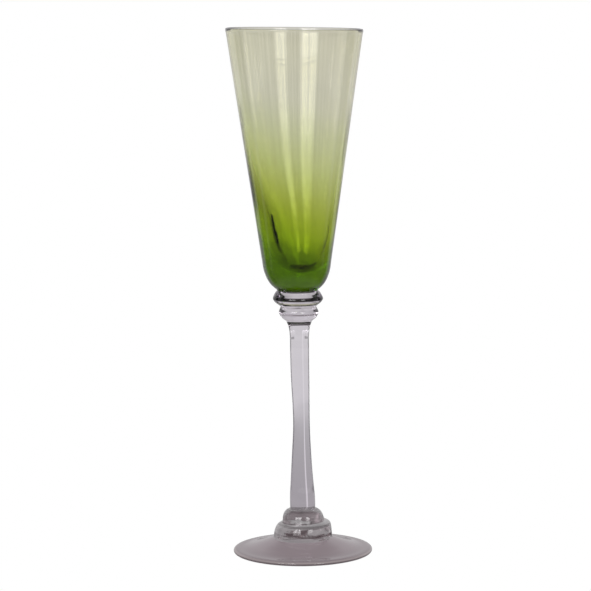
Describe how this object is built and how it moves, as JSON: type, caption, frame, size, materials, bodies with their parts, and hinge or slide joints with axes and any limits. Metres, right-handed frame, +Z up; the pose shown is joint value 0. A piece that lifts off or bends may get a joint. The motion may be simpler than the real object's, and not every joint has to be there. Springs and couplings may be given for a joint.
{
  "type": "champagne flute",
  "caption": "Hand-blown champagne flute: tall conical bowl shaded green inside clear glass, stacked mereses, drawn stem and stepped collars on a round foot.",
  "frame": {"origin": "centre of the foot on the surface that the glass stands on", "axes": "+Z up along the stem and the bowl's axis; the glass is round, so +X and +Y are any two level directions"},
  "size_m": [0.0666, 0.0666, 0.2505],
  "materials": {
    "clear_glass": "fire-polished clear glass with a faint grey cast and drawn striations",
    "green_glass": "fire-polished green glass that deepens towards the bottom of the bowl, where it is thickest",
    "foot_glass": "fire-polished clear glass with a warm grey cast, tooled rings and a ground pontil mark"
  },
  "bodies": {
    "root": {"bowl_casing": "clear_glass", "bowl_colour_lining": "green_glass", "upper_merese": "clear_glass", "lower_merese": "clear_glass", "stem": "clear_glass", "foot_collar_upper": "foot_glass", "foot_collar_lower": "foot_glass", "foot": "foot_glass"}
  },
  "joints": []
}
